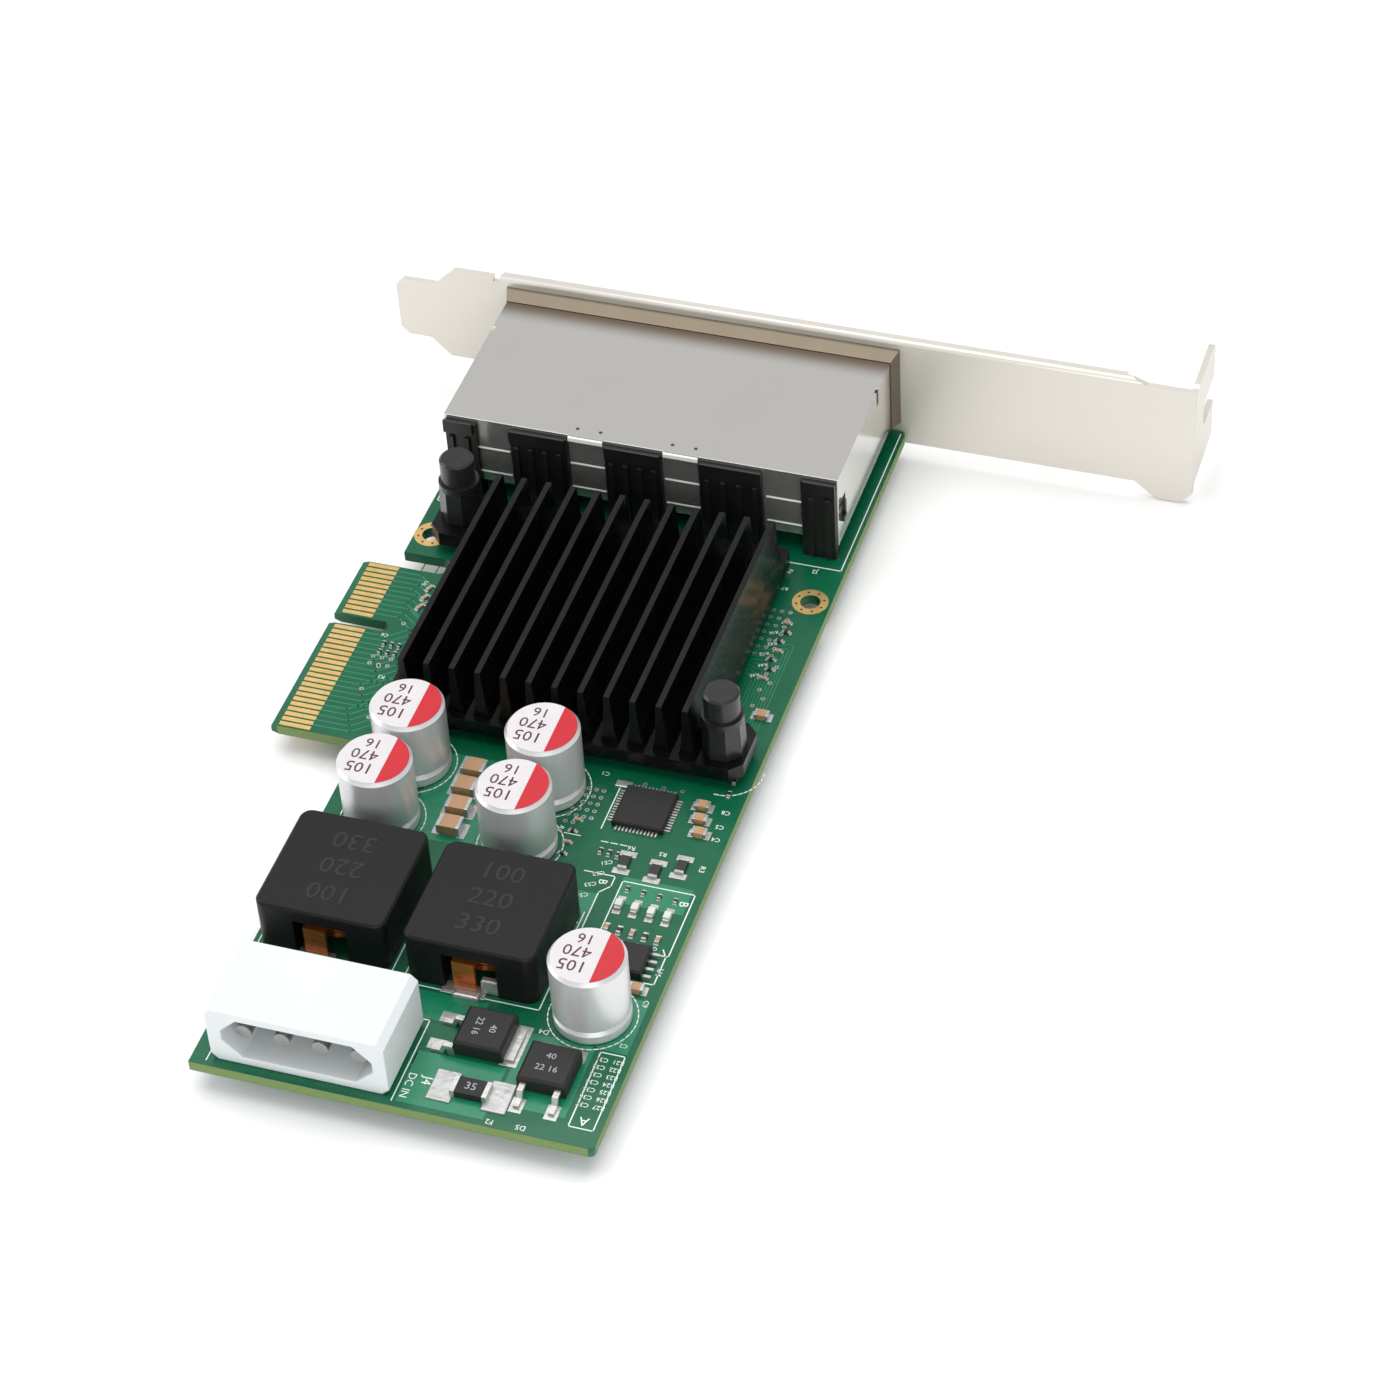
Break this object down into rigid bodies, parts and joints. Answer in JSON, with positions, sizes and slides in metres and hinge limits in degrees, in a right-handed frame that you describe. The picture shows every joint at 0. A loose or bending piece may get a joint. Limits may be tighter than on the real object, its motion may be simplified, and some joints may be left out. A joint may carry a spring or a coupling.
{
  "type": "network interface card",
  "caption": "Network adapter board with ganged jack sockets, finned black heatsink, power inductors, shrouded power header and folded steel bracket.",
  "frame": {"origin": "bottom edge of the edge fingers, in line with the middle of the key notch, at the component face of the board", "axes": "+X from the edge fingers across the card, +Y towards the bracket, +Z out of the component face"},
  "size_m": [0.12, 0.1518, 0.021],
  "materials": {
    "board": "semi-gloss green solder mask on glass laminate",
    "gold": "gold plating",
    "nickel_steel": "nickel plated sheet steel",
    "screw_steel": "zinc plated steel",
    "shield_tin": "tin plated sheet steel",
    "spring_steel": "plated spring steel",
    "black_plastic": "moulded black plastic",
    "module_resin": "cast resin",
    "contact_gold": "gold plated spring wire",
    "tinned_copper": "tin plated copper",
    "clear_window": "clear moulded window",
    "chip_mould": "moulded black epoxy",
    "pad_rubber": "soft heat conducting pad",
    "black_anodised": "black anodised aluminium",
    "pin_plastic": "black nylon",
    "can_aluminium": "drawn aluminium with a printed top",
    "seal_rubber": "black rubber",
    "ferrite": "dark grey sintered ferrite",
    "copper": "enamelled flat copper",
    "white_nylon": "white nylon",
    "tan_ceramic": "unglazed brown ceramic",
    "resistor_black": "black coated ceramic",
    "light_resin": "pale clear resin"
  },
  "bodies": {
    "root": {"circuit_board": "board", "edge_contacts": "gold", "mounting_rings": "gold", "bracket": "nickel_steel", "bracket_screws": "screw_steel", "jack_shield": "shield_tin", "ground_spring_frame": "spring_steel", "jack_housing": "black_plastic", "jack_magnetics": "module_resin", "jack_contacts": "contact_gold", "jack_pins": "tinned_copper", "jack_light_windows": "clear_window", "controller_chip": "chip_mould", "thermal_pad": "pad_rubber", "heatsink": "black_anodised", "push_pins": "pin_plastic", "capacitor_1": "can_aluminium", "capacitor_2": "can_aluminium", "capacitor_3": "can_aluminium", "capacitor_4": "can_aluminium", "capacitor_5": "can_aluminium", "capacitor_seals": "seal_rubber", "capacitor_leads": "tinned_copper", "inductor_core_left": "ferrite", "inductor_core_right": "ferrite", "inductor_winding_left": "copper", "inductor_winding_right": "copper", "inductor_terminals": "tinned_copper", "power_header": "white_nylon", "power_pins": "tinned_copper", "diode_bodies": "chip_mould", "diode_leads": "tinned_copper", "fuse_body": "chip_mould", "fuse_terminals": "tinned_copper", "power_chip": "chip_mould", "power_chip_leads": "tinned_copper", "small_chip": "chip_mould", "small_chip_leads": "tinned_copper", "ceramic_capacitors": "tan_ceramic", "resistors": "resistor_black", "signal_lights": "light_resin", "chip_end_caps": "tinned_copper"}
  },
  "joints": []
}
